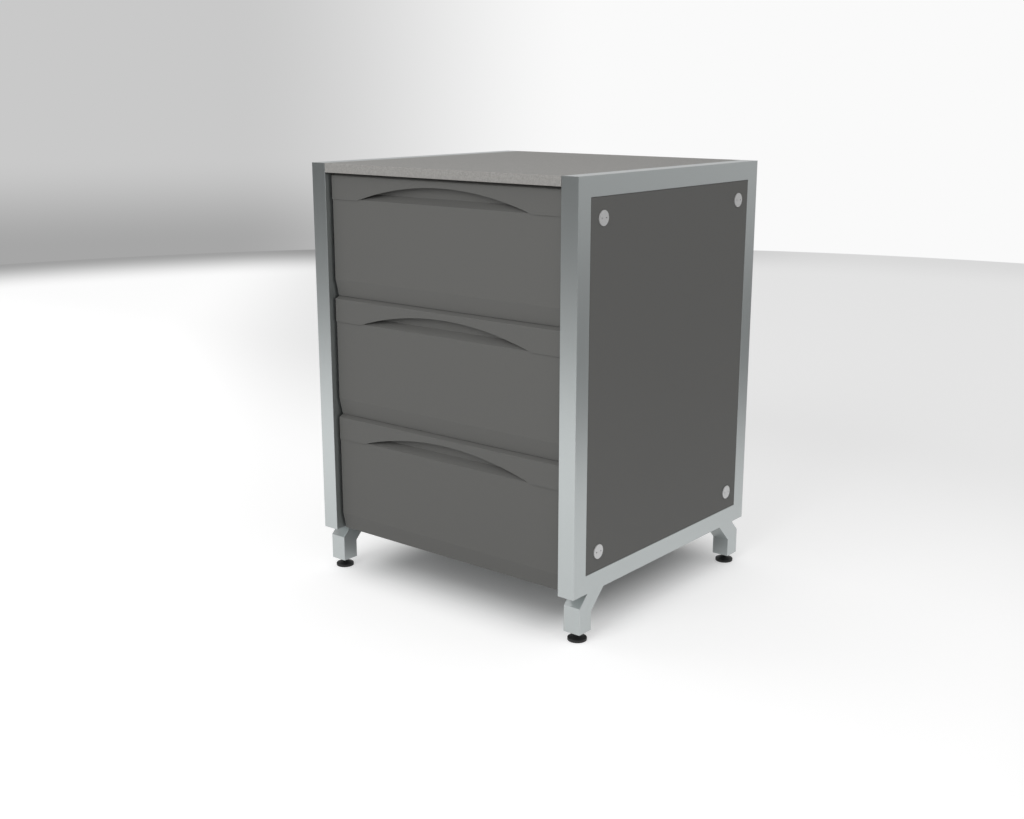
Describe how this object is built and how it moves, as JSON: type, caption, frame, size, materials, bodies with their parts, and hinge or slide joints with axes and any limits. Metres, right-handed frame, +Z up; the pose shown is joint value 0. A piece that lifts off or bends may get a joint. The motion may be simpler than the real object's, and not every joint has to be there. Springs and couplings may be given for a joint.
{
  "type": "drawer unit",
  "caption": "Drawer pedestal in two square-tube side frames, with dark panels, a speckled worktop, arched finger grips, full-extension slides and screw levellers.",
  "frame": {"origin": "on the floor, below the middle of the unit's width and depth", "axes": "+Z up, the drawers open towards -Y, +X to the right seen from the front"},
  "size_m": [0.5376, 0.5, 0.696],
  "materials": {
    "frame_lacquer": "silver-grey powder coat, satin",
    "panel_board": "dark grey melamine-faced board, matt",
    "worktop_laminate": "grey speckled laminate on board",
    "front_foil": "dark grey moulded front, matt",
    "grip_lacquer": "dark grey powder coat, matt",
    "box_lacquer": "light grey powder coat, satin",
    "zinc_steel": "bright zinc plate",
    "black_steel": "blackened steel, dull",
    "ball_steel": "polished bearing balls in a pressed cage",
    "disc_nickel": "satin light grey disc",
    "black_nylon": "black moulded nylon"
  },
  "bodies": {
    "cabinet": {"side_frame_left": "frame_lacquer", "side_frame_right": "frame_lacquer", "cross_rail_top_front": "frame_lacquer", "cross_rail_top_back": "frame_lacquer", "cross_rail_bottom_front": "frame_lacquer", "cross_rail_bottom_back": "frame_lacquer", "foot_front_left": "frame_lacquer", "foot_front_right": "frame_lacquer", "foot_back_left": "frame_lacquer", "foot_back_right": "frame_lacquer", "leveller_inserts": "zinc_steel", "worktop": "worktop_laminate", "side_panel_left": "panel_board", "side_panel_right": "panel_board", "back_panel": "panel_board", "panel_disc_bolts": "disc_nickel", "corner_gussets": "frame_lacquer", "slide_rails": "frame_lacquer", "cabinet_screws": "zinc_steel", "slide_1_cabinet_channels": "zinc_steel", "slide_2_cabinet_channels": "zinc_steel", "slide_3_cabinet_channels": "zinc_steel"},
    "drawer_1": {"drawer_1_front": "front_foil", "drawer_1_grip_rail": "grip_lacquer", "drawer_1_box_sides": "box_lacquer", "drawer_1_box_ends": "box_lacquer", "drawer_1_box_bottom": "box_lacquer", "drawer_1_screws": "zinc_steel", "slide_1_drawer_channels": "zinc_steel"},
    "slide_1_middle": {"slide_1_middle_channels": "zinc_steel"},
    "slide_1_outer": {"slide_1_outer_cages": "ball_steel"},
    "slide_1_inner": {"slide_1_inner_cages": "ball_steel"},
    "drawer_2": {"drawer_2_front": "front_foil", "drawer_2_grip_rail": "grip_lacquer", "drawer_2_box_sides": "box_lacquer", "drawer_2_box_ends": "box_lacquer", "drawer_2_box_bottom": "box_lacquer", "drawer_2_screws": "zinc_steel", "slide_2_drawer_channels": "zinc_steel"},
    "slide_2_middle": {"slide_2_middle_channels": "zinc_steel"},
    "slide_2_outer": {"slide_2_outer_cages": "ball_steel"},
    "slide_2_inner": {"slide_2_inner_cages": "ball_steel"},
    "drawer_3": {"drawer_3_front": "front_foil", "drawer_3_grip_rail": "grip_lacquer", "drawer_3_box_sides": "box_lacquer", "drawer_3_box_ends": "box_lacquer", "drawer_3_box_bottom": "box_lacquer", "drawer_3_screws": "zinc_steel", "slide_3_drawer_channels": "zinc_steel"},
    "slide_3_middle": {"slide_3_middle_channels": "zinc_steel"},
    "slide_3_outer": {"slide_3_outer_cages": "ball_steel"},
    "slide_3_inner": {"slide_3_inner_cages": "ball_steel"},
    "pad_front_left": {"leveller_pad_front_left": "black_nylon"},
    "stud_front_left": {"leveller_stud_front_left": "black_steel"},
    "pad_front_right": {"leveller_pad_front_right": "black_nylon"},
    "stud_front_right": {"leveller_stud_front_right": "black_steel"},
    "pad_back_left": {"leveller_pad_back_left": "black_nylon"},
    "stud_back_left": {"leveller_stud_back_left": "black_steel"},
    "pad_back_right": {"leveller_pad_back_right": "black_nylon"},
    "stud_back_right": {"leveller_stud_back_right": "black_steel"}
  },
  "joints": [
    {"name": "drawer_1_slide", "type": "slide", "parent": "cabinet", "child": "drawer_1", "axis": [0, -1, 0], "range_m": [0, 0.44]},
    {"name": "slide_1_middle_travel", "type": "slide", "parent": "cabinet", "child": "slide_1_middle", "axis": [0, -1, 0], "range_m": [0, 0.22]},
    {"name": "slide_1_outer_travel", "type": "slide", "parent": "cabinet", "child": "slide_1_outer", "axis": [0, -1, 0], "range_m": [0, 0.11]},
    {"name": "slide_1_inner_travel", "type": "slide", "parent": "cabinet", "child": "slide_1_inner", "axis": [0, -1, 0], "range_m": [0, 0.33]},
    {"name": "drawer_2_slide", "type": "slide", "parent": "cabinet", "child": "drawer_2", "axis": [0, -1, 0], "range_m": [0, 0.44]},
    {"name": "slide_2_middle_travel", "type": "slide", "parent": "cabinet", "child": "slide_2_middle", "axis": [0, -1, 0], "range_m": [0, 0.22]},
    {"name": "slide_2_outer_travel", "type": "slide", "parent": "cabinet", "child": "slide_2_outer", "axis": [0, -1, 0], "range_m": [0, 0.11]},
    {"name": "slide_2_inner_travel", "type": "slide", "parent": "cabinet", "child": "slide_2_inner", "axis": [0, -1, 0], "range_m": [0, 0.33]},
    {"name": "drawer_3_slide", "type": "slide", "parent": "cabinet", "child": "drawer_3", "axis": [0, -1, 0], "range_m": [0, 0.44]},
    {"name": "slide_3_middle_travel", "type": "slide", "parent": "cabinet", "child": "slide_3_middle", "axis": [0, -1, 0], "range_m": [0, 0.22]},
    {"name": "slide_3_outer_travel", "type": "slide", "parent": "cabinet", "child": "slide_3_outer", "axis": [0, -1, 0], "range_m": [0, 0.11]},
    {"name": "slide_3_inner_travel", "type": "slide", "parent": "cabinet", "child": "slide_3_inner", "axis": [0, -1, 0], "range_m": [0, 0.33]},
    {"name": "pad_front_left_lift", "type": "slide", "parent": "cabinet", "child": "pad_front_left", "axis": [0, 0, -1], "range_m": [0, 0.015]},
    {"name": "stud_front_left_turn", "type": "hinge", "parent": "pad_front_left", "child": "stud_front_left", "pos_m": [-0.2525, -0.2195, 0.0054], "axis": [0, 0, -1], "range_deg": [0, 3600]},
    {"name": "pad_front_right_lift", "type": "slide", "parent": "cabinet", "child": "pad_front_right", "axis": [0, 0, -1], "range_m": [0, 0.015]},
    {"name": "stud_front_right_turn", "type": "hinge", "parent": "pad_front_right", "child": "stud_front_right", "pos_m": [0.2525, -0.2195, 0.0054], "axis": [0, 0, -1], "range_deg": [0, 3600]},
    {"name": "pad_back_left_lift", "type": "slide", "parent": "cabinet", "child": "pad_back_left", "axis": [0, 0, -1], "range_m": [0, 0.015]},
    {"name": "stud_back_left_turn", "type": "hinge", "parent": "pad_back_left", "child": "stud_back_left", "pos_m": [-0.2525, 0.2195, 0.0054], "axis": [0, 0, -1], "range_deg": [0, 3600]},
    {"name": "pad_back_right_lift", "type": "slide", "parent": "cabinet", "child": "pad_back_right", "axis": [0, 0, -1], "range_m": [0, 0.015]},
    {"name": "stud_back_right_turn", "type": "hinge", "parent": "pad_back_right", "child": "stud_back_right", "pos_m": [0.2525, 0.2195, 0.0054], "axis": [0, 0, -1], "range_deg": [0, 3600]}
  ],
  "couplings": [
    {"joint": "slide_1_middle_travel", "follows": "drawer_1_slide", "ratio": 0.5},
    {"joint": "slide_1_outer_travel", "follows": "drawer_1_slide", "ratio": 0.25},
    {"joint": "slide_1_inner_travel", "follows": "drawer_1_slide", "ratio": 0.75},
    {"joint": "slide_2_middle_travel", "follows": "drawer_2_slide", "ratio": 0.5},
    {"joint": "slide_2_outer_travel", "follows": "drawer_2_slide", "ratio": 0.25},
    {"joint": "slide_2_inner_travel", "follows": "drawer_2_slide", "ratio": 0.75},
    {"joint": "slide_3_middle_travel", "follows": "drawer_3_slide", "ratio": 0.5},
    {"joint": "slide_3_outer_travel", "follows": "drawer_3_slide", "ratio": 0.25},
    {"joint": "slide_3_inner_travel", "follows": "drawer_3_slide", "ratio": 0.75},
    {"joint": "stud_front_left_turn", "follows": "pad_front_left_lift", "rad_per_m": 4188.8},
    {"joint": "stud_front_right_turn", "follows": "pad_front_right_lift", "rad_per_m": 4188.8},
    {"joint": "stud_back_left_turn", "follows": "pad_back_left_lift", "rad_per_m": 4188.8},
    {"joint": "stud_back_right_turn", "follows": "pad_back_right_lift", "rad_per_m": 4188.8}
  ]
}
